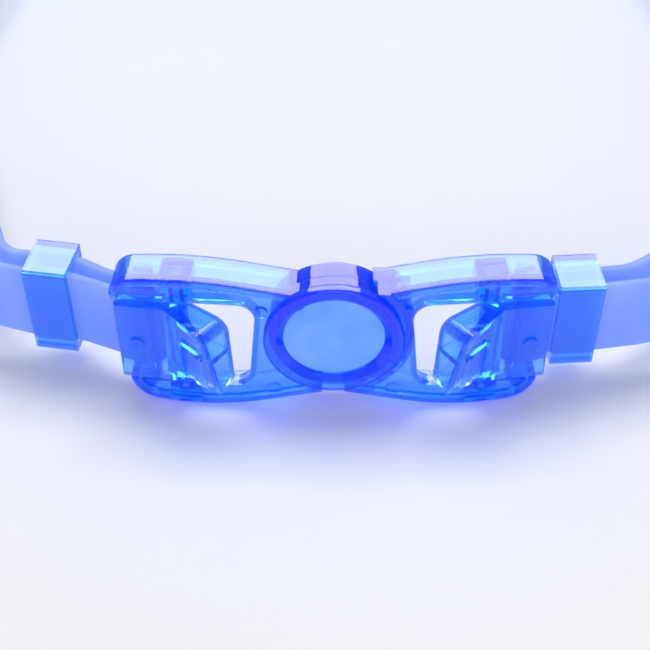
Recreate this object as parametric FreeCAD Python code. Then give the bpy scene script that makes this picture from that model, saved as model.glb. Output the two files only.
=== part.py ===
import FreeCAD, Part
import math
import os

os.makedirs("parts", exist_ok=True)

# ---------------------------------------------------------------------------
# Swim goggles with a two-wing rear strap clip.  Millimetres, +Z up.
# The clip is at -Y, the eyepieces face +Y, everything stands on z = 0.
# ---------------------------------------------------------------------------

V = FreeCAD.Vector

# rear clip
hub_z = 17.4            # height of the hub axis
hub_ring_r = 11.8       # outer radius of the hub's front ring
hub_drum_r = 10.9       # drum behind the ring, and the swivel collar
hub_disc_r = 8.6        # recessed centre disc
hub_front = -1.2        # how far the ring stands ahead of the wings
hub_split = 3.4         # depth where the drum ends and the collar begins
hub_spigot_r = 7.4      # journal the collar turns on
hub_back = 7.0          # back of the collar space
run_fit = 0.06          # radial running clearance
part_gap = 0.3          # gap between faces that pass each other

wing_len = 37.8         # hub axis to the wing's outer end
wing_depth = 7.0        # front to back
wing_wall = 1.3         # outer wall
wing_top = 28.8         # highest point of the wing
wing_sweep = 4.5        # degrees each wing is swept back
sweep_u = 8.0           # where the sweep starts
face_v = 0.8            # the face plate sits behind the front bead
face_t = 1.4            # face plate thickness
win_in = 13.6           # window: inner edge
win_lo = 4.7            # window: lower edge
win_hi = 23.5           # window: upper edge
win_r = 3.0             # window corner radius

# cam levers
piv_u = 26.3            # lever pivot, outward from the hub axis
piv_v = 3.5             # lever pivot, back from the wing's front
pin_r = 1.2             # pivot stub radius
lev_lo = 6.6            # lever body, lower edge
lev_hi = 23.1           # lever body, upper edge
tab_lo = 8.5            # finger tab, lower edge
plate_t = 1.7           # clamp plate thickness
arch_deep = 0.7         # arch-shaped recess in the front of the finger tab

# strap
strap_w = 15.0          # width
strap_t = 1.6           # thickness
strap_z = 15.3          # height of its centre line at the clip
bar_u = wing_len - 5.6  # strap bar, outward from the hub axis
bar_v = 5.5             # strap bar, back from the wing's front
bar_t = 2.4             # strap bar thickness
tail_len = 20.0         # free tail past the keeper
strap_bulge = 86.5      # furthest the strap stands out from the centre line, behind the ears

# keepers
keep_w = 7.5            # along the strap
keep_x_left = wing_len + 10.8  # where each keeper sits on the strap: x and the tail's middle line y
keep_y_left = 10.6
keep_yaw_left = 9.0
keep_x_right = wing_len + 3.6
keep_y_right = 7.1
keep_yaw_right = 3.5
keep_wall = 1.2
keep_slack = 0.25       # play above and below the strap
keep_layers = 4.5       # between the two layers' middle lines inside the keeper
keep_play = 0.5         # play in front of and behind the two layers
keep_depth = keep_layers + strap_t + keep_play + 2 * keep_wall

# eyepieces
eye_x = 38.5            # middle of each eyepiece from the centre line
eye_scale = eye_x / 38.5  # the cups narrow with their spacing, so they never meet at the nose
eye_z = 23.2            # height of the eyepiece centre
eye_y = 172.0           # back face of the cup's flange
cup_wall = 1.8
cup_depth = 12.0
lens_t = 1.8
seal_depth = 6.0
seal_flare = 2.6
lug_x = eye_x + 29.0 * eye_scale  # inner end of the block that takes the side arm
arm_x = lug_x + 12.0    # strap bar of the side arm
arm_y = eye_y - 1.0
arm_bar_r = 1.5
arm_h = 20.0


def export(name, shape):
    shape.exportStep("parts/" + name + ".step")


def box(x0, x1, y0, y1, z0, z1):
    return Part.makeBox(x1 - x0, y1 - y0, z1 - z0, V(x0, y0, z0))


def cyl_y(r, y0, y1, x=0.0, z=0.0):
    return Part.makeCylinder(r, y1 - y0, V(x, y0, z), V(0, 1, 0))


def cyl_z(r, z0, z1, x, y):
    return Part.makeCylinder(r, z1 - z0, V(x, y, z0), V(0, 0, 1))


def cone_y(r0, r1, y0, y1, x=0.0, z=0.0):
    return Part.makeCone(r0, r1, y1 - y0, V(x, y0, z), V(0, 1, 0))


def biggest(shape):
    """The largest solid of a boolean result, cleaned up."""
    s = max(shape.Solids, key=lambda q: q.Volume)
    try:
        return s.removeSplitter()
    except Exception:
        return s


def soften(shape, edges, r):
    """Fillet the edges one group at a time; keep the plain shape if a group can't be rounded."""
    for size in (r, r * 0.6, r * 0.35):
        try:
            out = shape.makeFillet(size, edges)
            if out.isValid() and abs(out.Volume) > 0:
                return out
        except Exception:
            pass
    return shape


def rounded(points, radii, closed, limit=True):
    """Corner-rounded polyline as a list of ('line', a, b) and ('arc', a, m, b) pieces in 2-D."""
    n = len(points)
    reach = [0.0] * n
    bend = [None] * n
    for i in range(n):
        if (not closed and i in (0, n - 1)) or radii[i] <= 0:
            continue
        p = V(*points[i], 0)
        a = V(*points[i - 1], 0).sub(p).normalize()
        b = V(*points[(i + 1) % n], 0).sub(p).normalize()
        half = a.getAngle(b) / 2.0
        bend[i] = (p, a, b, half)
        reach[i] = radii[i] / math.tan(half)
    # a radius too large for its side is brought down to what fits
    for _ in range(4 if limit else 0):
        for i in range(n if closed else n - 1):
            j = (i + 1) % n
            room = math.dist(points[i], points[j]) * 1.0001
            need = reach[i] + reach[j]
            if need > room:
                reach[i] *= room * 0.98 / need
                reach[j] *= room * 0.98 / need
    cuts = []
    for i in range(n):
        if bend[i] is None:
            cuts.append((points[i], None, points[i]))
            continue
        p, a, b, half = bend[i]
        d = reach[i]
        r = d * math.tan(half)
        mid = a.add(b).normalize()
        c = p.add(V(mid).multiply(r / math.sin(half)))
        m = c.sub(V(mid).multiply(r))
        s = p.add(V(a).multiply(d))
        e = p.add(V(b).multiply(d))
        cuts.append(((s.x, s.y), (m.x, m.y), (e.x, e.y)))
    pieces = []
    for i in range(n):
        if cuts[i][1] is not None:
            pieces.append(("arc",) + cuts[i])
        j = (i + 1) % n
        if not closed and j == 0:
            break
        a = cuts[i][2]
        b = cuts[j][0]
        if math.dist(a, b) > 1e-4:
            pieces.append(("line", a, b))
    return pieces


def grown(points, radii, d):
    """The same rounded outline moved outward by d, inward when d is negative."""
    n = len(points)
    following = list(points[1:]) + [points[0]]
    area = sum(p[0] * q[1] - q[0] * p[1] for p, q in zip(points, following))
    turn = 1.0 if area > 0 else -1.0
    new_points = []
    new_radii = []
    for i in range(n):
        p = V(*points[i], 0)
        a = p.sub(V(*points[i - 1], 0)).normalize()
        b = V(*points[(i + 1) % n], 0).sub(p).normalize()
        na = V(a.y * turn, -a.x * turn, 0)
        nb = V(b.y * turn, -b.x * turn, 0)
        mid = na.add(nb).normalize()
        shift = d / mid.dot(na)
        new_points.append((p.x + mid.x * shift, p.y + mid.y * shift))
        outward = (a.x * b.y - a.y * b.x) * turn > 0
        r = radii[i] + (d if outward else -d)
        new_radii.append(max(r, 0.25) if radii[i] > 0 else 0)
    return new_points, new_radii


def outline_wire(points, radii, at, d=0.0):
    """Closed rounded outline, grown by d, as a wire; at() places a 2-D point in space."""
    if abs(d) > 1e-9:
        points, radii = grown(points, radii, d)
    edges = []
    for p in rounded(points, radii, True):
        if p[0] == "line":
            edges.append(Part.makeLine(at(p[1]), at(p[2])))
        else:
            edges.append(Part.Arc(at(p[1]), at(p[2]), at(p[3])).toShape())
    return Part.Wire(Part.__sortEdges__(edges))


def xz(y):
    return lambda p: V(p[0], y, p[1])


def xy(z):
    return lambda p: V(p[0], p[1], z)


def slab_y(wire, depth):
    return Part.Face(wire).extrude(V(0, depth, 0))


# ---------------------------------------------------------------------------
# rear clip wings, drawn once pointing +X and then placed on each side
# ---------------------------------------------------------------------------

WING_POINTS = (
    (5.2, 26.6),
    (wing_len * 0.62, wing_top + 0.5),
    (wing_len, wing_top - 0.7),
    (wing_len - 2.8, 1.3),
    (wing_len * 0.56, -0.92),
    (1.0, 4.9),
)
WING_RADII = (0.8, 70.0, 4.2, 6.5, 48.0, 0.8)


def place(shape, side):
    """Sweep a wing-side part back and mirror it for the left."""
    s = shape.copy()
    s.rotate(V(sweep_u, 0, 0), V(0, 0, 1), wing_sweep)
    if side < 0:
        s = s.mirror(V(0, 0, 0), V(1, 0, 0))
    return s


def spot(u, v):
    """Where a wing-side point lands on the right, as (x, y)."""
    p = place(Part.Vertex(u, v, 0), 1).Point
    return p.x, p.y


def wing_frame():
    outer = outline_wire(WING_POINTS, WING_RADII, xz(0))
    inner = outline_wire(WING_POINTS, WING_RADII, xz(0), -wing_wall)
    shell = slab_y(outer, wing_depth)
    shell = soften(shell, [e for e in shell.Edges if e.BoundBox.YLength < 0.01], 0.45)
    cut = slab_y(inner, wing_depth + 2)
    cut.translate(V(0, -1, 0))
    ring = shell.cut(cut)
    plan = outline_wire(((-9, 0), (wing_len + 0.02, 0), (wing_len + 0.02, wing_depth), (-9, wing_depth)),
                        (0, 2.8, 0.4, 0), xy(-3))
    plan = Part.Face(plan).extrude(V(0, 0, wing_top + 6))

    # the outer end is open between the top and bottom channels for the strap
    gap = box(wing_len - 5.2, wing_len + 2, -2, wing_depth + 2, win_lo + 0.8, win_hi + 0.2)
    ring = ring.cut(gap)

    # face plate behind the front bead, with the lever window through it
    face = slab_y(inner, face_t)
    face.translate(V(0, face_v, 0))
    window_pts = (
        (win_in - 0.6, win_hi),
        (wing_len + 3, win_hi),
        (wing_len + 3, win_lo),
        (win_in + 1.2, win_lo),
    )
    window = slab_y(outline_wire(window_pts, (win_r, 0, 0, win_r), xz(-1)), 6)
    face = face.cut(window)

    # lip along the window's upper and inner edges
    lip_pts = (
        (win_in - 1.5, win_hi + 0.9),
        (wing_len - 2.2, win_hi + 0.9),
        (wing_len - 2.2, win_lo - 0.9),
        (win_in + 0.3, win_lo - 0.9),
    )
    lip = slab_y(outline_wire(lip_pts, (win_r + 0.9, 0, 0, win_r + 0.9), xz(face_v + face_t)), 1.0)
    lip = lip.cut(slab_y(outline_wire(window_pts, (win_r, 0, 0, win_r), xz(-1)), 8))
    lip = lip.common(slab_y(outer, wing_depth))
    body = ring.fuse(face).fuse(lip).common(plan)

    # pivot bosses for the lever, under the top wall and on the bottom wall
    inside = slab_y(outer, wing_depth)
    for z0, z1 in ((win_hi + 0.9, wing_top + 1), (-1.0, win_lo - 0.9)):
        boss = box(piv_u - 2.6, piv_u + 2.6, face_v, wing_depth - 0.6, z0, z1)
        body = body.fuse(boss.common(inside))

    # bar the strap wraps round, between the two channels
    bar = box(bar_u - 1.7, bar_u + 1.7, bar_v - bar_t / 2, bar_v + bar_t / 2, win_lo - 3.2, win_hi + 2.4)
    bar = soften(bar, [e for e in bar.Edges if e.BoundBox.ZLength > 10], bar_t / 2 - 0.1)
    body = body.fuse(bar.common(inside))

    # stub bores
    bore = cyl_z(pin_r + run_fit, 1.6, wing_top - 1.6, piv_u, piv_v)
    body = body.cut(bore)

    # round boss at the window's upper inner corner and a moulding mark on the face below it
    knob = cyl_y(1.1, face_v - 0.7, face_v + 0.2, win_in - 1.5, win_hi - 0.9)
    mark = cyl_y(1.3, face_v - 0.3, face_v + 0.2, win_in - 3.2, win_lo - 0.3)
    body = body.fuse(knob.common(inside)).fuse(mark.common(inside))
    return body


def wing_left():
    body = place(wing_frame(), -1)
    # clear of the swivel collar behind the drum, and of the opposite wing
    body = body.cut(cyl_y(hub_drum_r + part_gap, hub_split, wing_depth + 3, 0, hub_z))
    body = body.cut(cyl_y(hub_disc_r, -2, 12, 0, hub_z))
    body = body.cut(box(-2.0, 40, -4, 14, -5, 40))
    drum = cyl_y(hub_drum_r, hub_front + 0.5, hub_split, 0, hub_z)
    ring = cyl_y(hub_ring_r, hub_front, 0.7, 0, hub_z)
    ring = soften(ring, [e for e in ring.Edges if e.BoundBox.YLength < 0.01], 0.5)
    hub = drum.fuse(ring)
    recess = cyl_y(hub_disc_r, 0.0, 1.7, 0, hub_z)
    funnel = cone_y(hub_disc_r + 1.1, hub_disc_r, hub_front - 0.01, 0.0, 0, hub_z)
    hub = hub.cut(recess).cut(funnel)
    spigot = cyl_y(hub_spigot_r, hub_split - 0.5, hub_back - 0.12, 0, hub_z)
    hub = hub.fuse(spigot)
    hub = hub.cut(cyl_y(4.2, 2.9, 12, 0, hub_z))
    body = body.fuse(hub)
    return biggest(body)


def wing_right():
    body = place(wing_frame(), 1)
    # clear of the drum and ring in front, curved seat wall round them
    seat = cyl_y(hub_ring_r + part_gap + wing_wall, face_v - 0.8, wing_depth - 0.2, 0, hub_z)
    seat = seat.common(box(6.4, 20, -2, 12, 3.6, wing_top - 1.6))
    body = body.fuse(seat)
    body = body.cut(cyl_y(hub_ring_r + part_gap, -4, hub_split + 0.1, 0, hub_z))
    body = body.cut(cyl_y(hub_drum_r - 0.5, hub_split, wing_depth + 3, 0, hub_z))
    body = body.cut(box(-40, 6.4, -4, 14, hub_z - hub_drum_r, 40))
    body = body.cut(box(-40, 1.8, -4, 14, -5, 40))
    # collar that turns on the spigot
    collar = cyl_y(hub_drum_r, hub_split + 0.1, hub_back - 0.2, 0, hub_z)
    neck = box(6.4, 12.6, hub_split + 0.1, hub_split + 1.7, hub_z - 8.8, hub_z + 8.8)
    body = body.fuse(collar).fuse(neck)
    body = body.cut(cyl_y(hub_spigot_r + run_fit, hub_split - 1, wing_depth + 3, 0, hub_z))
    return biggest(body)


def hub_disc():
    d = cyl_y(hub_disc_r, 0.25, 1.7, 0, hub_z)
    rim = [e for e in d.Edges if abs(e.BoundBox.YMin - 0.25) < 0.01 and e.BoundBox.YLength < 0.01]
    return soften(d, rim, 0.2)


def hub_cap():
    head = cyl_y(9.4, hub_back, hub_back + 1.3, 0, hub_z)
    head = soften(head, [e for e in head.Edges if e.BoundBox.YMin > hub_back + 1.0], 0.5)
    shank = cyl_y(4.2, hub_split + 0.1, hub_back + 0.3, 0, hub_z)
    shank = shank.cut(cyl_y(2.8, hub_split - 1, hub_back - 0.4, 0, hub_z))
    return biggest(head.fuse(shank))


def lever():
    # clamp plate over the strap
    plate_pts = (
        (piv_u + 0.9, -0.9),
        (wing_len - 1.2, -0.3),
        (wing_len - 1.2, -0.3 + plate_t),
        (piv_u + 0.9, -0.9 + plate_t + 0.3),
    )
    wire = outline_wire(plate_pts, (0, 0.5, 0.5, 0), xy(lev_lo))
    plate = Part.Face(wire).extrude(V(0, 0, lev_hi - lev_lo))

    # gripping rib that presses the strap towards its bar
    rib = cyl_z(0.9, lev_lo + 1.2, lev_hi - 0.6, piv_u + 4.2, 0.85)
    plate = plate.fuse(rib)

    # finger tab: a tapered block leaning forward, wider at the foot
    top = ((piv_u + 1.6, -0.9), (20.8, -7.3), (17.2, -2.6), (piv_u - 1.6, 1.9))
    foot = ((piv_u + 2.2, -0.8), (18.6, -5.4), (16.9, -0.9), (piv_u - 1.6, 2.2))
    w_top = Part.makePolygon([V(a, b, lev_hi) for a, b in top + top[:1]])
    w_foot = Part.makePolygon([V(a, b, tab_lo) for a, b in foot + foot[:1]])
    tab = Part.makeLoft([w_foot, w_top], True, True)
    far = [e for e in tab.Edges
           if e.BoundBox.ZLength < 0.2 and e.BoundBox.XMax < 21.5 and e.BoundBox.ZMin > lev_hi - 1]
    tab = soften(tab, far, 2.2)

    # arch-shaped recess in the tab's front face
    arch_pts = ((19.2, 3.0), (20.9, lev_hi - 2.6), (25.4, lev_hi - 3.4), (25.4, 3.0), (23.4, 3.0),
                (23.0, lev_hi - 7.4), (21.6, lev_hi - 6.8), (20.6, 3.0))
    arch = slab_y(outline_wire(arch_pts, (0, 2.4, 3.0, 0, 0, 1.2, 0.8, 0), xz(-12)), 20)
    inner = tab.copy()
    inner.translate(V(-0.54 * arch_deep, 0.84 * arch_deep, 0))
    tab = tab.cut(tab.common(arch).cut(inner))

    # hollow the tab from behind, leaving a middle web
    hole_top = ((piv_u - 1.2, 0.4), (21.2, -5.2), (18.9, -2.2), (19.4, 5.0), (piv_u - 1.2, 5.0))
    hole_foot = ((piv_u - 1.2, 0.6), (19.6, -3.6), (18.5, -1.0), (19.4, 5.0), (piv_u - 1.2, 5.0))
    mid = (lev_hi + tab_lo) / 2
    h_top = Part.makePolygon([V(a, b, lev_hi - 2.4) for a, b in hole_top + hole_top[:1]])
    h_foot = Part.makePolygon([V(a, b, tab_lo - 1.0) for a, b in hole_foot + hole_foot[:1]])
    hollow = Part.makeLoft([h_foot, h_top], True, True)
    hollow = hollow.cut(box(10, 40, -10, 10, mid - 0.6, mid + 0.6))
    tab = tab.cut(hollow)

    # barrel between the two pivot stubs
    barrel = box(piv_u - 1.6, piv_u + 1.7, piv_v - 2.6, piv_v - 0.6, lev_lo, lev_hi)
    body = plate.fuse(tab).fuse(barrel)
    for z0, z1 in ((lev_hi - 2.0, win_hi - part_gap), (win_lo + part_gap, lev_lo + 2.0)):
        cheek = box(piv_u - 1.65, piv_u + 1.3, face_v + face_t - 0.75, piv_v + 1.3, z0, z1)
        body = body.fuse(cheek)
    for z0, z1 in ((lev_hi - 1.0, wing_top - 2.1), (2.1, lev_lo + 1.0)):
        body = body.fuse(cyl_z(pin_r, z0, z1, piv_u, piv_v))
    # moulding mark on the plate
    mark = cyl_y(1.3, -1.0, 0.0, piv_u + 7.0, (lev_lo + lev_hi) / 2)
    body = body.fuse(mark)
    return biggest(body)



# ---------------------------------------------------------------------------
# straps: a flat band that runs from the side arm behind the clip, round the
# strap bar and back out under the clamp plate to its free tail
# ---------------------------------------------------------------------------

def walk(points, radii, step):
    """Points along a corner-rounded path, close together on its bends."""
    out = []
    for p in rounded(points, radii, False):
        if p[0] == "line":
            a, b = V(*p[1], 0), V(*p[2], 0)
            n = max(1, int(a.distanceToPoint(b) / step))
            pts = [a.add(b.sub(a).multiply(i / n)) for i in range(n + 1)]
        else:
            arc = Part.Arc(V(*p[1], 0), V(*p[2], 0), V(*p[3], 0)).toShape()
            n = max(4, int(arc.Length / (step * 0.5)))
            if arc.Curve.Radius < 5:
                n = 9
            pts = arc.discretize(n + 1)
            if pts[0].distanceToPoint(V(*p[1], 0)) > 1e-3:
                pts.reverse()
        for q in pts:
            if not out or q.distanceToPoint(out[-1]) > 0.12:
                out.append(q)
    return out


def fitted(points, radii):
    """The radii that rounded() really uses on an open path."""
    out = []
    arcs = {}
    for p in rounded(points, radii, False):
        if p[0] == "arc":
            c = Part.Arc(V(*p[1], 0), V(*p[2], 0), V(*p[3], 0)).toShape().Curve
            arcs[len(arcs)] = c.Radius
    k = 0
    for i, r in enumerate(radii):
        bends = 0 < i < len(points) - 1 and r > 0
        out.append(arcs[k] if bends else 0)
        k += 1 if bends else 0
    return out


def rail(points, radii, d):
    """The open path moved sideways by d, to its left when d is positive."""
    n = len(points)
    pts = []
    rad = []
    for i in range(n):
        p = V(*points[i], 0)
        a = p.sub(V(*points[i - 1], 0)).normalize() if i > 0 else None
        b = V(*points[i + 1], 0).sub(p).normalize() if i < n - 1 else None
        a = a or b
        b = b or a
        na = V(-a.y, a.x, 0)
        nb = V(-b.y, b.x, 0)
        mid = na.add(nb).normalize()
        shift = d / mid.dot(na)
        pts.append((p.x + mid.x * shift, p.y + mid.y * shift))
        to_left = a.x * b.y - a.y * b.x > 0
        rad.append(max(radii[i] + (-d if to_left else d), 0.05) if radii[i] > 0 else 0)
    return rounded(pts, rad, False, False)


def band(points, radii, thick, z0, z1):
    """Flat band on edge along an open rounded path."""
    radii = fitted(points, radii)
    edges = []
    ends = []
    for d in (-thick / 2, thick / 2):
        r = rail(points, radii, d)
        ends.append((r[0][1], r[-1][-1]))
        for p in r:
            if p[0] == "line":
                edges.append(Part.makeLine(xy(z0)(p[1]), xy(z0)(p[2])))
            else:
                edges.append(Part.Arc(xy(z0)(p[1]), xy(z0)(p[2]), xy(z0)(p[3])).toShape())
    for k in (0, 1):
        edges.append(Part.makeLine(xy(z0)(ends[0][k]), xy(z0)(ends[1][k])))
    face = Part.Face(Part.Wire(Part.__sortEdges__(edges)))
    return face.extrude(V(0, 0, z1 - z0))


def strap(side):
    """One half of the strap: anchor loop, load run, wrap round the bar, free tail."""
    ease = 0.12
    back_v = bar_v + bar_t / 2 + strap_t / 2 + ease
    front_v = bar_v - bar_t / 2 - strap_t / 2 - ease
    bend_u = bar_u - 1.7 + bar_t / 2
    bend_r = (back_v - front_v) / 2
    leave = wing_len + 0.6
    ax, ay = spot(leave, back_v + 0.3)
    bx, by = spot(bend_u - bend_r, back_v)
    cx, cy = spot(bend_u - bend_r, front_v)
    dx, dy = spot(bar_u + 2.1, front_v)
    gap = keep_layers
    if side < 0:
        kx, ky, slope = keep_x_left, keep_y_left, math.tan(math.radians(keep_yaw_left))
        straight = 4.5
        load = ((kx + 14.0, ky + gap + 15.0), (strap_bulge, 108.0))
        far = (kx + 13.5, ky + 13.5 * slope + 1.6)
    else:
        kx, ky, slope = keep_x_right, keep_y_right, math.tan(math.radians(keep_yaw_right))
        straight = 5.0
        load = ((kx + 24.0, ky + gap + 10.0), (strap_bulge, 108.0))
        far = (kx + 15.5, ky + 15.5 * slope + 1.2)
    half = keep_w * 0.5 + 0.4
    tail_in = (kx - half, ky - half * slope)
    tail_out = (kx + half, ky + half * slope)
    tip = (far[0] + tail_len * 0.85, far[1] + tail_len * 0.5)
    reach = half + straight
    load_out = (kx + reach, ky + gap + reach * slope)
    load_in = (kx - half, ky + gap - half * slope)
    pts = [(arm_x, arm_y - arm_bar_r - strap_t), load[1], load[0], load_out]
    radii = [0, 60.0, 34.0, 5.0 if side < 0 else 7.0]
    if load_in[0] > ax + 2.5:
        pts.append(load_in)
        radii.append(10.0)
    pts += [(ax, ay), (bx, by), (cx, cy), (dx, dy)]
    radii += [8.0, bend_r, bend_r, 5.0]
    pts.append(tail_in)
    radii.append(6.0)
    pts += [tail_out, far, tip]
    radii += [14.0, 22.0, 0]
    body = band(pts, radii, strap_t, strap_z - strap_w / 2, strap_z + strap_w / 2)
    loop = cyl_z(arm_bar_r + strap_t, strap_z - strap_w / 2, strap_z + strap_w / 2, arm_x, arm_y)
    end = box(arm_x - strap_t, arm_x + strap_t, arm_y - arm_bar_r - strap_t * 1.6, arm_y,
              strap_z - strap_w / 2, strap_z + strap_w / 2)
    body = body.fuse(loop).fuse(end)
    body = body.cut(cyl_z(arm_bar_r + 0.02, strap_z - strap_w, strap_z + strap_w, arm_x, arm_y))
    if side < 0:
        body = body.mirror(V(0, 0, 0), V(1, 0, 0))
    return biggest(body)


def keeper(x, y, yaw, side):
    """Rectangular sleeve round both strap layers."""
    h = strap_w + 2 * (keep_slack + keep_wall)
    out = box(-keep_w / 2, keep_w / 2, 0, keep_depth, -h / 2, h / 2)
    out = soften(out, [e for e in out.Edges if e.BoundBox.XLength > keep_w - 0.1], 0.5)
    hole = box(-keep_w, keep_w, keep_wall, keep_depth - keep_wall, -h / 2 + keep_wall, h / 2 - keep_wall)
    out = out.cut(hole)
    out.translate(V(0, -keep_wall - strap_t / 2 - 0.35, 0))
    out.rotate(V(0, 0, 0), V(0, 0, 1), yaw)
    out.translate(V(x, y, strap_z))
    if side < 0:
        out = out.mirror(V(0, 0, 0), V(1, 0, 0))
    return out


# ---------------------------------------------------------------------------
# eyepieces
# ---------------------------------------------------------------------------

EYE_POINTS = ((-26.0, 13.5), (4.0, 20.4), (28.5, 17.0), (31.5, -9.0), (14.0, -20.4), (-17.0, -19.0),
              (-30.0, -3.0))
EYE_RADII = (11.0, 60.0, 15.0, 15.0, 40.0, 15.0, 10.0)


def eye_wire(y, d):
    points = [(eye_x + a * eye_scale, eye_z + b) for a, b in EYE_POINTS]
    return outline_wire(points, EYE_RADII, xz(y), d)


def eye_ring(y0, y1, d_out, d_in):
    return slab_y(eye_wire(y0, d_out), y1 - y0).cut(slab_y(eye_wire(y0 - 1, d_in), y1 - y0 + 2))


def handed(shape, side):
    return shape if side > 0 else shape.mirror(V(0, 0, 0), V(1, 0, 0))


arm_z = strap_z


def eyecup():
    wall = eye_ring(eye_y, eye_y + cup_depth, 0, -cup_wall)
    flange = eye_ring(eye_y, eye_y + 1.6, 2.2, -cup_wall)
    seat = eye_ring(eye_y + cup_depth - 3.4, eye_y + cup_depth - lens_t - 0.1, -0.5, -cup_wall - 1.2)
    body = wall.fuse(flange).fuse(seat)
    # nose lug with a socket for the bridge's end
    nx = bridge_u
    lug = box(nx - 3.4, nx + 5.0, bridge_y - 3.6, bridge_y + 3.4, bridge_z - 5.5, bridge_z + 5.5)
    lug = soften(lug, [e for e in lug.Edges if e.BoundBox.ZLength > 5 and e.BoundBox.XMax < nx], 2.0)
    body = body.fuse(lug.cut(slab_y(eye_wire(eye_y - 1, -cup_wall), 40)))
    body = body.cut(cyl_z(bridge_r + 0.05, bridge_z - 4.3, bridge_z + 9, nx, bridge_y))
    body = body.cut(box(nx - 9, nx, bridge_y - bridge_t / 2 - 0.3, bridge_y + bridge_t / 2 + 0.3,
                        bridge_z - 4.3, bridge_z + 9))
    # socket on the outer side for the side arm's tongue
    block = box(lug_x, lug_x + 7.0, eye_y + 1.2, eye_y + 9.2, arm_z - 7.0, arm_z + 7.0)
    body = body.fuse(block.cut(slab_y(eye_wire(eye_y - 1, -cup_wall), 40)))
    body = body.cut(box(lug_x + 3.4, lug_x + 8, eye_y + 3.0, eye_y + 7.4, arm_z - 5.0, arm_z + 5.0))
    return biggest(body)


def lens():
    plate = slab_y(eye_wire(eye_y + cup_depth - lens_t - 0.1, -cup_wall - 0.05), lens_t)
    return soften(plate, [e for e in plate.Edges if e.BoundBox.YMin > eye_y + cup_depth - 0.2], 0.3)


def bezel():
    face = eye_ring(eye_y + cup_depth, eye_y + cup_depth + 1.4, 1.3, -cup_wall - 1.0)
    skirt = eye_ring(eye_y + cup_depth - 2.4, eye_y + cup_depth + 0.5, 1.3, 0.05)
    keep_clear = box(lug_x - 0.1, lug_x + 11, eye_y, eye_y + cup_depth - 0.5, arm_z - 8, arm_z + 8)
    return biggest(face.fuse(skirt).cut(keep_clear))


def gasket():
    y0 = eye_y - seal_depth
    ruled = (True, True)
    out = Part.makeLoft([eye_wire(y0, seal_flare), eye_wire(eye_y - 0.02, 1.2)], *ruled)
    hole = Part.makeLoft([eye_wire(y0 - 0.5, seal_flare - 2.6), eye_wire(eye_y + 0.5, -0.9)], *ruled)
    lip = eye_ring(eye_y - 1.6, eye_y + 2.4, 3.3, 2.25)
    foot = eye_ring(eye_y - 1.6, eye_y - 0.02, 3.3, 0.6)
    hook = eye_ring(eye_y + 1.62, eye_y + 2.6, 3.3, 0.5)
    body = out.cut(hole).fuse(foot).fuse(lip).fuse(hook)
    body = body.cut(box(lug_x - 4, lug_x + 12, eye_y + 1.0, eye_y + 12, arm_z - 7.2, arm_z + 7.2))
    nx = bridge_u
    body = body.cut(box(nx - 9, nx + 7, bridge_y - 3.8, bridge_y + 9, bridge_z - 5.7, bridge_z + 5.7))
    return biggest(body)


def nose_bridge():
    up = bridge_y + 5.0
    knee = bridge_u - 3.9
    crown = bridge_u - 6.2
    pts = [(-bridge_u, bridge_y), (-knee, bridge_y), (-crown, up), (crown, up), (knee, bridge_y),
           (bridge_u, bridge_y)]
    sides = []
    line = walk(pts, [0, 1.6, 2.6, 2.6, 1.6, 0], 1.5)
    for sign in (-0.5, 0.5):
        edge = []
        for i, q in enumerate(line):
            d = line[min(i + 1, len(line) - 1)].sub(line[max(i - 1, 0)]).normalize()
            edge.append(V(q.x - d.y * bridge_t * sign, q.y + d.x * bridge_t * sign, bridge_z - 4.1))
        sides.append(edge)
    wire = Part.makePolygon(sides[0] + sides[1][::-1] + sides[0][:1])
    body = Part.Face(wire).extrude(V(0, 0, 8.2))
    for sx in (-1, 1):
        body = body.fuse(cyl_z(bridge_r, bridge_z - 4.1, bridge_z + 4.1, sx * bridge_u, bridge_y))
    return biggest(body)


def side_arm():
    z0, z1 = arm_z - arm_h / 2, arm_z + arm_h / 2
    y_in = eye_y + 5.2
    pts = ((lug_x + 7.2, y_in - 3.6), (lug_x + 7.2, y_in + 3.4), (arm_x - 1.0, y_in + 2.2),
           (arm_x + 4.2, arm_y + 1.0), (arm_x + 4.2, arm_y - 3.0), (arm_x - 4.2, arm_y - 3.0),
           (arm_x - 4.4, y_in - 3.4))
    wire = outline_wire(pts, (0.6, 1.0, 3.0, 2.5, 1.5, 1.2, 1.2), xy(z0))
    body = Part.Face(wire).extrude(V(0, 0, arm_h))
    window = box(arm_x - 6, arm_x + 6, arm_y - 6, arm_y + 3.6,
                 arm_z - strap_w / 2 - 0.4, arm_z + strap_w / 2 + 0.4)
    body = body.cut(window)
    body = body.fuse(cyl_z(arm_bar_r, z0 + 1, z1 - 1, arm_x, arm_y))
    tongue = box(lug_x + 3.6, lug_x + 8, eye_y + 3.2, eye_y + 7.2, arm_z - 4.8, arm_z + 4.8)
    return biggest(body.fuse(tongue))


bridge_u = eye_x - 28.4 * eye_scale  # bridge socket from the centre line
bridge_r = 1.9
bridge_t = 2.2
bridge_y = eye_y + 5.0
bridge_z = eye_z + 2.5

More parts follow.
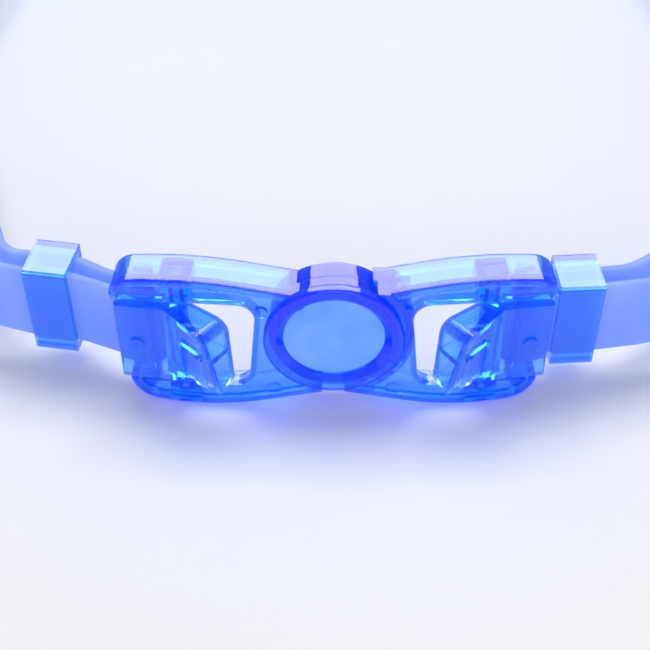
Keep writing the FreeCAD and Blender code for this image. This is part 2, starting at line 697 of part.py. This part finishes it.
parts = {}
for side, tag in ((-1, "left"), (1, "right")):
    parts["lever_" + tag] = place(lever(), side)
    parts["strap_" + tag] = strap(side)
    parts["eyecup_" + tag] = handed(eyecup(), side)
    parts["lens_" + tag] = handed(lens(), side)
    parts["bezel_" + tag] = handed(bezel(), side)
    parts["gasket_" + tag] = handed(gasket(), side)
    parts["side_arm_" + tag] = handed(side_arm(), side)
parts["wing_left"] = wing_left()
parts["wing_right"] = wing_right()
parts["hub_disc"] = hub_disc()
parts["hub_cap"] = hub_cap()
parts["nose_bridge"] = nose_bridge()
parts["keeper_left"] = keeper(keep_x_left, keep_y_left, keep_yaw_left, -1)
parts["keeper_right"] = keeper(keep_x_right, keep_y_right, keep_yaw_right, 1)

# origin: middle of the bounding box in plan, on the surface it stands on
whole = Part.makeCompound(list(parts.values())).optimalBoundingBox(False)
origin = V((whole.XMin + whole.XMax) / 2, (whole.YMin + whole.YMax) / 2, whole.ZMin)
for name, shape in parts.items():
    shape.translate(origin.negative())
    export(name, shape)
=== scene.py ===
import math

import bmesh
import bpy
from mathutils import Matrix, Vector


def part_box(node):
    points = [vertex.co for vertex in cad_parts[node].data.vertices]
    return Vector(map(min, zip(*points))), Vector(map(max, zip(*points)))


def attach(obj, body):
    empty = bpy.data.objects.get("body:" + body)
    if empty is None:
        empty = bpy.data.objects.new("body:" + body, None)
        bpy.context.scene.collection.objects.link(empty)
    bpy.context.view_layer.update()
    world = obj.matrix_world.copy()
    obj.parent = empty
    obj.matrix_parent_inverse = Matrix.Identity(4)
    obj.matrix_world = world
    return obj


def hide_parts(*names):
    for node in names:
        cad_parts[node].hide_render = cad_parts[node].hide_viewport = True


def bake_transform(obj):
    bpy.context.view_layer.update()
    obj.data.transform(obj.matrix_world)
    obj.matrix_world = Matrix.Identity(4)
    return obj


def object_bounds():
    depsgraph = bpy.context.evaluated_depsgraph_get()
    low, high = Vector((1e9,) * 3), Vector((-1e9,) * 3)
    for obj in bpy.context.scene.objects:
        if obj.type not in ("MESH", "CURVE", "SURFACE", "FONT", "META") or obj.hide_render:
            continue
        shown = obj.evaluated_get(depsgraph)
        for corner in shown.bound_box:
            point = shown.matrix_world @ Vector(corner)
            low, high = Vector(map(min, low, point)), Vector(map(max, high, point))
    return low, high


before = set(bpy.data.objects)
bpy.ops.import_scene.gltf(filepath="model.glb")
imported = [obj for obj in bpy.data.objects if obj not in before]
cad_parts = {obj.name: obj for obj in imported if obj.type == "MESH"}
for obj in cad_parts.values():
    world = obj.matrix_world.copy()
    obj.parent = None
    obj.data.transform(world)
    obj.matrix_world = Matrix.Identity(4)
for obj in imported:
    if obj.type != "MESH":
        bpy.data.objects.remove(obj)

cad_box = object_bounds()
MM = 0.001  # metres


# ---------------------------------------------------------------------------
# The hub joins the clip's two wings: a drum and ring moulded on the left wing,
# a collar on the right wing that turns round it, and a press-in cap behind.
# All of it is injection-moulded polycarbonate with a clear blue tint.
# ---------------------------------------------------------------------------

def linear(code, alpha=1.0):
    """An sRGB hex colour as linear RGBA."""
    parts = [int(code[i:i + 2], 16) / 255 for i in (1, 3, 5)]
    return tuple(c / 12.92 if c <= 0.04045 else ((c + 0.055) / 1.055) ** 2.4 for c in parts) + (alpha,)


def add(tree, kind, settings=None, links=None):
    """Adds a node. Lower-case settings are its properties, the others its sockets by name or number."""
    node = tree.nodes.new("ShaderNode" + kind)
    for key, value in (settings or {}).items():
        if isinstance(key, str) and key[0].islower():
            setattr(node, key, value)
        else:
            node.inputs[key].default_value = value
    for key, source in (links or {}).items():
        tree.links.new(source, node.inputs[key])
    return node


def blank(name):
    """A new material with only its output node."""
    material = bpy.data.materials.new(name)
    material.use_nodes = True
    material.node_tree.nodes.clear()
    return material, material.node_tree


def coordinates(tree, per_mm, squeeze=(1, 1, 1)):
    """Object coordinates scaled so that one unit is 1 / per_mm millimetres."""
    place = add(tree, "TexCoord")
    scale = Vector(squeeze) * (per_mm / MM)
    return add(tree, "Mapping", {"Scale": scale}, {"Vector": place.outputs["Object"]}).outputs["Vector"]


def shade(node, ramp_stops, source, tree):
    """Turns a 0 to 1 value into one of several colours."""
    ramp = add(tree, "ValToRGB", {}, {"Fac": source})
    band = ramp.color_ramp
    while len(band.elements) < len(ramp_stops):
        band.elements.new(0.5)
    for element, (place, colour) in zip(band.elements, ramp_stops):
        element.position = place
        element.color = linear(colour)
    tree.links.new(ramp.outputs["Color"], node)


PAINTED_GLOW_SHARE = 0.045  # share of a plastic's absorption density that comes back as painted glow, an emission that brightens its thick parts


def clear_plastic(name, tint, density, roughness, shadow, skin="#ffffff", faint="#e6efff"):
    """Moulded clear plastic: a glossy skin over a body that soaks up red, then green, with depth.
    Flow lines from the gate give the skin a slow wave every 7 mm and a slight change of colour."""
    material, tree = blank(name)
    flow = add(tree, "TexNoise", {"Scale": 1.0, "Detail": 2.0, "Distortion": 0.6},
               {"Vector": coordinates(tree, 1 / 7.0, (1.0, 1.0, 0.6))})
    grain = add(tree, "TexNoise", {"Scale": 1.0, "Detail": 1.0}, {"Vector": coordinates(tree, 1 / 0.5)})
    wave = add(tree, "Bump", {"Strength": 0.16, "Distance": 0.25 * MM}, {"Height": flow.outputs["Fac"]})
    tooth = add(tree, "Bump", {"Strength": 0.05, "Distance": 0.04 * MM},
                {"Height": grain.outputs["Fac"], "Normal": wave.outputs["Normal"]})
    gloss = add(tree, "MapRange", {"To Min": roughness * 0.6, "To Max": roughness * 1.5},
                {"Value": grain.outputs["Fac"]})
    body = add(tree, "BsdfPrincipled", {"IOR": 1.585, "Transmission Weight": 1.0},
               {"Roughness": gloss.outputs["Result"], "Normal": tooth.outputs["Normal"]})
    shade(body.inputs["Base Color"], ((0.3, skin), (0.8, faint)), flow.outputs["Fac"], tree)
    # a fifth of the light goes straight through thin walls, and all of it does on its way to a shadow
    straight = add(tree, "BsdfTransparent", {"Color": linear("#ffffff")})
    seen = add(tree, "MixShader", {0: 0.20}, {1: body.outputs[0], 2: straight.outputs[0]})
    passing = add(tree, "BsdfTransparent", {"Color": linear(shadow)})
    path = add(tree, "LightPath")
    both = add(tree, "MixShader", {},
               {0: path.outputs["Is Shadow Ray"], 1: seen.outputs[0], 2: passing.outputs[0]})
    # painted glow: an emission inside the body brightens its thick parts; diffuse rays skip it, so it does
    # not light the table
    soak = add(tree, "VolumeAbsorption", {"Color": linear(tint), "Density": density})
    unlit = add(tree, "Math", {"operation": "SUBTRACT", 0: 1.0}, {1: path.outputs["Is Diffuse Ray"]})
    painted_glow_strength = add(tree, "Math", {"operation": "MULTIPLY", 1: density * PAINTED_GLOW_SHARE}, {0: unlit.outputs[0]})
    painted_glow = add(tree, "Emission", {"Color": linear("#3f8fff")}, {"Strength": painted_glow_strength.outputs[0]})
    soak_and_painted_glow = add(tree, "AddShader", {}, {0: soak.outputs[0], 1: painted_glow.outputs[0]})
    add(tree, "OutputMaterial", {}, {"Surface": both.outputs[0], "Volume": soak_and_painted_glow.outputs[0]})
    return material


def wear(node, material):
    """Gives a CAD node one material in every slot."""
    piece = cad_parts[node]
    if not piece.material_slots:
        piece.data.materials.append(material)
    for slot in piece.material_slots:
        slot.material = material
    return piece


clip_blue = clear_plastic("Polycarbonate, moulded, clear blue", "#2cc8fe", 1100.0, 0.014, "#7aa8d4")
for node in ("wing_left", "wing_right"):
    wear(node, clip_blue)

cap_blue = clear_plastic("Polycarbonate, moulded, deep blue cap", "#34c4fe", 800.0, 0.08, "#7aa8d4")
wear("hub_cap", cap_blue)


def frosted_disc():
    """Textured polycarbonate: the disc's tool was spark-eroded, so it is matt with a fine even grain.
    The real grain is near 0.1 mm; it is drawn at 0.22 mm so that it shows."""
    material, tree = blank("Polycarbonate, spark-eroded matt blue")
    grain = add(tree, "TexNoise", {"Scale": 1.0, "Detail": 4.0, "Roughness": 0.7},
                {"Vector": coordinates(tree, 1 / 0.22)})
    cloud = add(tree, "TexNoise", {"Scale": 1.0, "Detail": 2.0}, {"Vector": coordinates(tree, 1 / 9.0)})
    mixed = add(tree, "Mix", {"data_type": "FLOAT", 0: 0.55},
                {2: grain.outputs["Fac"], 3: cloud.outputs["Fac"]})
    bump = add(tree, "Bump", {"Strength": 0.35, "Distance": 0.05 * MM}, {"Height": grain.outputs["Fac"]})
    gloss = add(tree, "MapRange", {"To Min": 0.42, "To Max": 0.62}, {"Value": grain.outputs["Fac"]})
    # painted glow: a faint blue emission makes the disc's face brighter than its lighting does
    face = add(tree, "BsdfPrincipled", {"IOR": 1.585, "Emission Color": linear("#0095ff"),
                                        "Emission Strength": 0.15},
               {"Roughness": gloss.outputs["Result"], "Normal": bump.outputs["Normal"]})
    shade(face.inputs["Base Color"], ((0.30, "#5a92f8"), (0.50, "#70a6fb"), (0.72, "#8ebafd")),
          mixed.outputs["Result"], tree)
    add(tree, "OutputMaterial", {}, {"Surface": face.outputs[0]})
    return material


wear("hub_disc", frosted_disc())


# ---------------------------------------------------------------------------
# The cam levers snap into the wings on short stubs and clamp the strap to its
# bar. They are moulded from the same polycarbonate with more pigment, so the
# clamp plate and the hollow finger tab read deeper than the frame round them.
# ---------------------------------------------------------------------------

lever_blue = clear_plastic("Polycarbonate, moulded, strong blue lever", "#3cd4fe", 720.0, 0.02, "#7aa8d4",
                           "#ffffff", "#e2ebff")
for side in ("left", "right"):
    wear("lever_" + side, lever_blue)


# ---------------------------------------------------------------------------
# The keepers are short square sleeves that hold the strap's tail down. They
# are moulded in soft clear PVC, which is why their walls are a little uneven.
# ---------------------------------------------------------------------------

keeper_blue = clear_plastic("Soft PVC, moulded, clear blue keeper", "#38d4fe", 780.0, 0.03, "#7aa8d4",
                            "#ffffff", "#e4edff")
for side in ("left", "right"):
    wear("keeper_" + side, keeper_blue)


# ---------------------------------------------------------------------------
# The strap is one flat silicone band to each side: looped round the side arm,
# round the head, behind the clip's bar, forward round it and out to a free
# tail. Milky silicone, extruded and cut, with its edges left slightly round.
# ---------------------------------------------------------------------------

clip_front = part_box("hub_disc")[0].y - 0.25 * MM
centre_line = (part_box("hub_disc")[0].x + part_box("hub_disc")[1].x) / 2
strap_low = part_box("strap_left")[0].z
strap_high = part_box("strap_left")[1].z
strap_thick = 1.6 * MM


def at(x, y, z=0.0):
    """A point x mm from the centre line and y mm behind the clip's front face."""
    return Vector((centre_line + x * MM, clip_front + y * MM, z))


def milky_silicone(name, deep, mid, pale, coarse):
    """Milky silicone rubber: light goes in and comes out softened, and the skin has a dull gloss.
    Thickness varies a little along the extrusion, drawn as soft bands 6 mm apart."""
    material, tree = blank(name)
    bands = add(tree, "TexNoise", {"Scale": 1.0, "Detail": 1.0},
                {"Vector": coordinates(tree, 1 / coarse, (1.0, 1.0, 0.15))})
    dust = add(tree, "TexNoise", {"Scale": 1.0, "Detail": 3.0}, {"Vector": coordinates(tree, 1 / 0.35)})
    skin = add(tree, "Bump", {"Strength": 0.12, "Distance": 0.06 * MM}, {"Height": dust.outputs["Fac"]})
    ripple = add(tree, "Bump", {"Strength": 0.25, "Distance": 0.4 * MM},
                 {"Height": bands.outputs["Fac"], "Normal": skin.outputs["Normal"]})
    gloss = add(tree, "MapRange", {"To Min": 0.30, "To Max": 0.46}, {"Value": dust.outputs["Fac"]})
    # painted glow: a faint blue emission brightens the straps and seals beyond what the lamps give
    body = add(tree, "BsdfPrincipled", {"IOR": 1.41, "Subsurface Weight": 0.35, "Subsurface Scale": 1.2 * MM,
                                        "Subsurface Radius": (0.5, 0.8, 1.0), "Emission Strength": 0.13,
                                        "Emission Color": linear("#7fa8ff")},
               {"Roughness": gloss.outputs["Result"], "Normal": ripple.outputs["Normal"]})
    shade(body.inputs["Base Color"], ((0.25, deep), (0.5, mid), (0.8, pale)), bands.outputs["Fac"], tree)
    through = add(tree, "BsdfTranslucent", {"Color": linear(pale)}, {"Normal": ripple.outputs["Normal"]})
    both = add(tree, "MixShader", {0: 0.55}, {1: body.outputs[0], 2: through.outputs[0]})
    passing = add(tree, "BsdfTransparent", {"Color": linear("#8aa6f6")})
    path = add(tree, "LightPath")
    part = add(tree, "Math", {"operation": "MULTIPLY", 1: 0.35}, {0: path.outputs["Is Shadow Ray"]})
    all_of = add(tree, "MixShader", {}, {0: part.outputs[0], 1: both.outputs[0], 2: passing.outputs[0]})
    add(tree, "OutputMaterial", {}, {"Surface": all_of.outputs[0]})
    return material


strap_silicone = milky_silicone("Silicone rubber, extruded, milky blue", "#97b6fc", "#abc6fd", "#cbdcfe", 6.0)


def rounded_run(points, radii, segments=7):
    """A bmesh holding one run of edges through the points, with each corner rounded to its radius."""
    mesh = bmesh.new()
    corners = [mesh.verts.new(p) for p in points]
    for a, b in zip(corners, corners[1:]):
        mesh.edges.new((a, b))
    for i in range(1, len(points) - 1):
        if radii[i] <= 0:
            continue
        turn = (points[i] - points[i - 1]).angle(points[i + 1] - points[i])
        reach = radii[i] * MM * math.tan(turn / 2)
        bmesh.ops.bevel(mesh, geom=[corners[i]], offset=reach, offset_type="OFFSET", affect="VERTICES",
                        segments=segments, profile=0.5, material=-1)
    return mesh


def into_object(name, mesh, material, smooth=True):
    """Turns a bmesh into an object at the origin, with its normals pointing outwards."""
    data = bpy.data.meshes.new(name)
    mesh.to_mesh(data)
    mesh.free()
    data.materials.append(material)
    for face in data.polygons:
        face.use_smooth = smooth
    piece = bpy.data.objects.new(name, data)
    bpy.context.scene.collection.objects.link(piece)
    return piece


def baked(piece):
    """Applies a piece's modifiers to its mesh."""
    done = bpy.data.meshes.new_from_object(piece.evaluated_get(bpy.context.evaluated_depsgraph_get()))
    piece.modifiers.clear()
    piece.data = done
    return piece


def flat_band(name, mesh, low, high, thick, material, rows=6):
    """Raises a run of edges into an upright band, gives it its thickness and rounds its edges."""
    for _ in range(rows):
        rise = (high - low) / rows
        crest = max(v.co.z for v in mesh.verts)
        top = [e for e in mesh.edges if all(abs(v.co.z - crest) < 1e-7 for v in e.verts)]
        grown = bmesh.ops.extrude_edge_only(mesh, edges=top)
        raised = [v for v in grown["geom"] if isinstance(v, bmesh.types.BMVert)]
        bmesh.ops.translate(mesh, verts=raised, vec=(0, 0, rise))
    bmesh.ops.recalc_face_normals(mesh, faces=mesh.faces)
    piece = into_object(name, mesh, material)
    wall = piece.modifiers.new("thickness", "SOLIDIFY")
    wall.thickness = thick
    wall.offset = 0.0
    wall.use_even_offset = True
    edge = piece.modifiers.new("edges", "BEVEL")
    edge.width = 0.28 * thick
    edge.segments = 3
    edge.limit_method = "ANGLE"
    edge.angle_limit = math.radians(50)
    return baked(piece)


arm_bar = (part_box("eyecup_right")[0].y - clip_front) / MM - 1.0
LOOP = ((79.3, -4.6), (76.75, -1.6), (76.75, 1.6), (79.5, 2.5), (82.0, 1.6), (82.0, -1.6), (79.7, -4.8))
LOOP_RADII = (0, 1.5, 1.5, 1.2, 1.5, 1.5, 2.0)


def strap_route(side):
    """The strap's centre line, from its moulded end round the side arm's bar to the tail's tip."""
    if side < 0:
        run = [(86.5, 108.0), (62.6, 30.1), (57.25, 16.47), (44.45, 14.44), (37.68, 10.28), (28.92, 9.29),
               (29.25, 5.06), (33.95, 5.43), (44.45, 9.94), (52.75, 11.26), (62.1, 14.34), (79.1, 24.34)]
        radii = [60, 34, 5, 10, 8, 2.1, 2.1, 5, 6, 14, 22, 0]
    else:
        run = [(86.5, 108.0), (65.4, 21.6), (50.55, 12.16), (37.68, 10.28), (28.92, 9.29), (29.25, 5.06),
               (33.95, 5.43), (37.25, 6.85), (45.55, 7.35), (56.9, 9.25), (73.9, 19.25)]
        radii = [60, 34, 7, 8, 2.1, 2.1, 5, 6, 14, 22, 0]
    points = [at(side * x, arm_bar + y) for x, y in LOOP] + [at(side * x, y) for x, y in run]
    return points, list(LOOP_RADII) + radii


for side, tag in ((-1, "left"), (1, "right")):
    points, radii = strap_route(side)
    ribbon = rounded_run(points, radii)
    bmesh.ops.translate(ribbon, verts=ribbon.verts, vec=(0, 0, strap_low))
    strap = flat_band("silicone_strap_" + tag, ribbon, strap_low, strap_high, strap_thick, strap_silicone)
    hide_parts("strap_" + tag)
    if tag == "left":
        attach(strap, "goggles")
    else:
        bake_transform(strap)


# ---------------------------------------------------------------------------
# The eyepieces: rigid clear cups with a flange behind, a tinted lens set in
# the front, and a bezel that snaps over it. The side arms plug into the cups.
# ---------------------------------------------------------------------------

cup_blue = clear_plastic("Polycarbonate, moulded, clear pale blue cup", "#58ccfe", 420.0, 0.05, "#b9cffc")
bezel_blue = clear_plastic("Polycarbonate, moulded, strong blue bezel", "#30b8fe", 760.0, 0.06, "#86a8ee")
lens_smoke = clear_plastic("Polycarbonate, hard-coated lens, blue tint", "#50c4fe", 560.0, 0.012, "#b3cafc")
for side in ("left", "right"):
    wear("eyecup_" + side, cup_blue)
    wear("side_arm_" + side, cup_blue)
    wear("bezel_" + side, bezel_blue)
    wear("lens_" + side, lens_smoke)


# ---------------------------------------------------------------------------
# The seals are soft silicone rings moulded to the cup's flange. Each flares
# to a thin rolled lip that rests round the eye, and a rim grips the flange.
# ---------------------------------------------------------------------------

seal_silicone = milky_silicone("Silicone rubber, moulded, soft milky seal",
                               "#a3bdfc", "#b6cbfd", "#cfdefe", 9.0)
EYE = ((-26.0, 13.5), (4.0, 20.4), (28.5, 17.0), (31.5, -9.0), (14.0, -20.4), (-17.0, -19.0),
       (-30.0, -3.0))
EYE_RADII = (11.0, 60.0, 15.0, 15.0, 40.0, 15.0, 10.0)
# how far outside the cup's outline, and how far past its back face, each ring of the seal runs;
# no two neighbours lie in one plane, or the skin between them would twist across the opening
SEAL_SECTION = (
    (-0.85, -0.1), (-0.5, -2.4), (0.0, -4.6), (0.35, -5.5), (1.0, -5.95), (1.9, -5.9), (2.5, -5.55),
    (2.45, -4.8), (1.9, -3.0), (1.6, -1.7), (2.3, -1.45), (3.1, -1.4), (3.3, -1.1), (3.3, 0.8),
    (3.1, 1.1), (2.4, 1.05), (2.3, 0.9), (2.3, -0.05), (1.0, -0.07),
)
cup_back = arm_bar + 1.0


def eye_ring(mesh, centre, side, out, y):
    """One closed, rounded ring of the eye's outline, grown outwards by out."""
    points = [Vector((side * (38.5 + a), 0, b)) for a, b in EYE]
    n = len(points)
    ring = []
    for i, p in enumerate(points):
        before = (p - points[i - 1]).normalized()
        after = (points[(i + 1) % n] - p).normalized()
        normals = [side * Vector((-d.z, 0, d.x)) for d in (before, after)]
        middle = (normals[0] + normals[1]).normalized()
        ring.append(p + middle * (out / middle.dot(normals[0])))
    corners = [mesh.verts.new(at(q.x, cup_back + y, centre + q.z * MM)) for q in ring]
    for a, b in zip(corners, corners[1:] + corners[:1]):
        mesh.edges.new((a, b))
    for i, corner in enumerate(corners):
        turn = (ring[i] - ring[i - 1]).angle(ring[(i + 1) % n] - ring[i])
        reach = min((EYE_RADII[i] + out) * math.tan(turn / 2), 0.47 * min(
            (ring[i] - ring[i - 1]).length, (ring[(i + 1) % n] - ring[i]).length))
        bmesh.ops.bevel(mesh, geom=[corner], offset=reach * MM, offset_type="OFFSET", affect="VERTICES",
                        segments=8, profile=0.5, material=-1)


for side, tag in ((-1, "left"), (1, "right")):
    low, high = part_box("lens_" + tag)
    # the outline's middle sits a little above the middle of its height
    centre = (low.z + high.z) / 2 + 0.224 * MM
    mesh = bmesh.new()
    loops = []
    for out, y in SEAL_SECTION:
        before = set(mesh.edges)
        eye_ring(mesh, centre, side, out, y)
        loops.append([e for e in mesh.edges if e not in before])
    for a, b in zip(loops, loops[1:] + loops[:1]):
        bmesh.ops.bridge_loops(mesh, edges=a + b)
    bmesh.ops.recalc_face_normals(mesh, faces=mesh.faces)
    seal = into_object("face_seal_" + tag, mesh, seal_silicone)
    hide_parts("gasket_" + tag)
    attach(seal, "goggles")


# ---------------------------------------------------------------------------
# The nose bridge is a short arched silicone band. Its round ends are pushed
# down into sockets in the cups' nose lugs.
# ---------------------------------------------------------------------------

bridge_low, bridge_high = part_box("nose_bridge")
BRIDGE = ((-10.1, 5.0), (-6.1, 5.0), (-3.9, 10.0), (3.9, 10.0), (6.1, 5.0), (10.1, 5.0))
arch = rounded_run([at(x, cup_back + y) for x, y in BRIDGE], (0, 1.6, 2.6, 2.6, 1.6, 0))
bmesh.ops.translate(arch, verts=arch.verts, vec=(0, 0, bridge_low.z))
bridge = flat_band("nose_band", arch, bridge_low.z, bridge_high.z, 2.2 * MM, seal_silicone, 4)
ends = bmesh.new()
ends.from_mesh(bridge.data)
for x in (-10.1, 10.1):
    middle = at(x, cup_back + 5.0, (bridge_low.z + bridge_high.z) / 2)
    bmesh.ops.create_cone(ends, cap_ends=True, segments=32, radius1=1.85 * MM, radius2=1.85 * MM,
                          depth=bridge_high.z - bridge_low.z, matrix=Matrix.Translation(middle))
ends.to_mesh(bridge.data)
ends.free()
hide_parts("nose_bridge")
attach(bridge, "goggles")


# ---------------------------------------------------------------------------
# The set: a plain white table, an even white room, a soft box high behind the
# clip, a card low behind it and a weak fill, seen from 44 degrees above.
# ---------------------------------------------------------------------------

def table_top():
    """Matt white acrylic sheet with a barely visible mottle every 60 mm."""
    material, tree = blank("Acrylic sheet, matt white")
    mottle = add(tree, "TexNoise", {"Scale": 1.0, "Detail": 3.0}, {"Vector": coordinates(tree, 1 / 60.0)})
    top = add(tree, "BsdfPrincipled", {"Roughness": 0.75, "Specular IOR Level": 0.15})
    shade(top.inputs["Base Color"], ((0.3, "#f3f3f5"), (0.8, "#f6f6f8")), mottle.outputs["Fac"], tree)
    add(tree, "OutputMaterial", {}, {"Surface": top.outputs[0]})
    return material


sheet = bmesh.new()
bmesh.ops.create_grid(sheet, x_segments=2, y_segments=2, size=2.0)
bmesh.ops.translate(sheet, verts=sheet.verts, vec=(0, 0, cad_box[0][2] - 0.1 * MM))
floor = into_object("table", sheet, table_top(), False)

scene = bpy.context.scene
room = bpy.data.worlds.new("white room")
room.use_nodes = True
room.node_tree.nodes["Background"].inputs["Color"].default_value = linear("#ffffff")
room.node_tree.nodes["Background"].inputs["Strength"].default_value = 0.40
scene.world = room
scene.view_settings.view_transform = "Standard"
# clear walls behind clear walls: a ray crosses up to two dozen skins before it meets the table
scene.cycles.max_bounces = 24
scene.cycles.transmission_bounces = 24
scene.cycles.transparent_max_bounces = 24


def soft_box(name, place, target, size, power, colour):
    """A rectangular area light that faces its target."""
    light = bpy.data.lights.new(name, "AREA")
    light.shape = "RECTANGLE"
    light.size = size[0]
    light.size_y = size[1]
    light.energy = power
    light.color = linear(colour)[:3]
    holder = bpy.data.objects.new(name, light)
    scene.collection.objects.link(holder)
    holder.location = place
    holder.rotation_euler = (Vector(target) - Vector(place)).to_track_quat("-Z", "Y").to_euler()
    return holder


clip_middle = (0.0, clip_front, 0.015)
# the card behind the clip is only there to be mirrored in its top walls
back = soft_box("back card", (0.0, clip_front + 0.43, 0.41), clip_middle, (0.62, 0.17), 2.7, "#faf0ff")
back.visible_diffuse = False
soft_box("top box", (0.0, clip_front + 0.20, 0.60), clip_middle, (0.40, 0.30), 2.3, "#ffffff")
soft_box("front fill", (0.05, clip_front - 0.50, 0.22), clip_middle, (0.4, 0.3), 0.8, "#ffffff")

eye = bpy.data.cameras.new("camera")
eye.sensor_width = 36.0
eye.lens = 69.23
camera = bpy.data.objects.new("camera", eye)
scene.collection.objects.link(camera)
camera.location = (centre_line - 1.5 * MM, clip_front - 148.35 * MM, 0.16374)
camera.rotation_euler = (math.radians(46.0), 0.0, 0.0)
scene.camera = camera
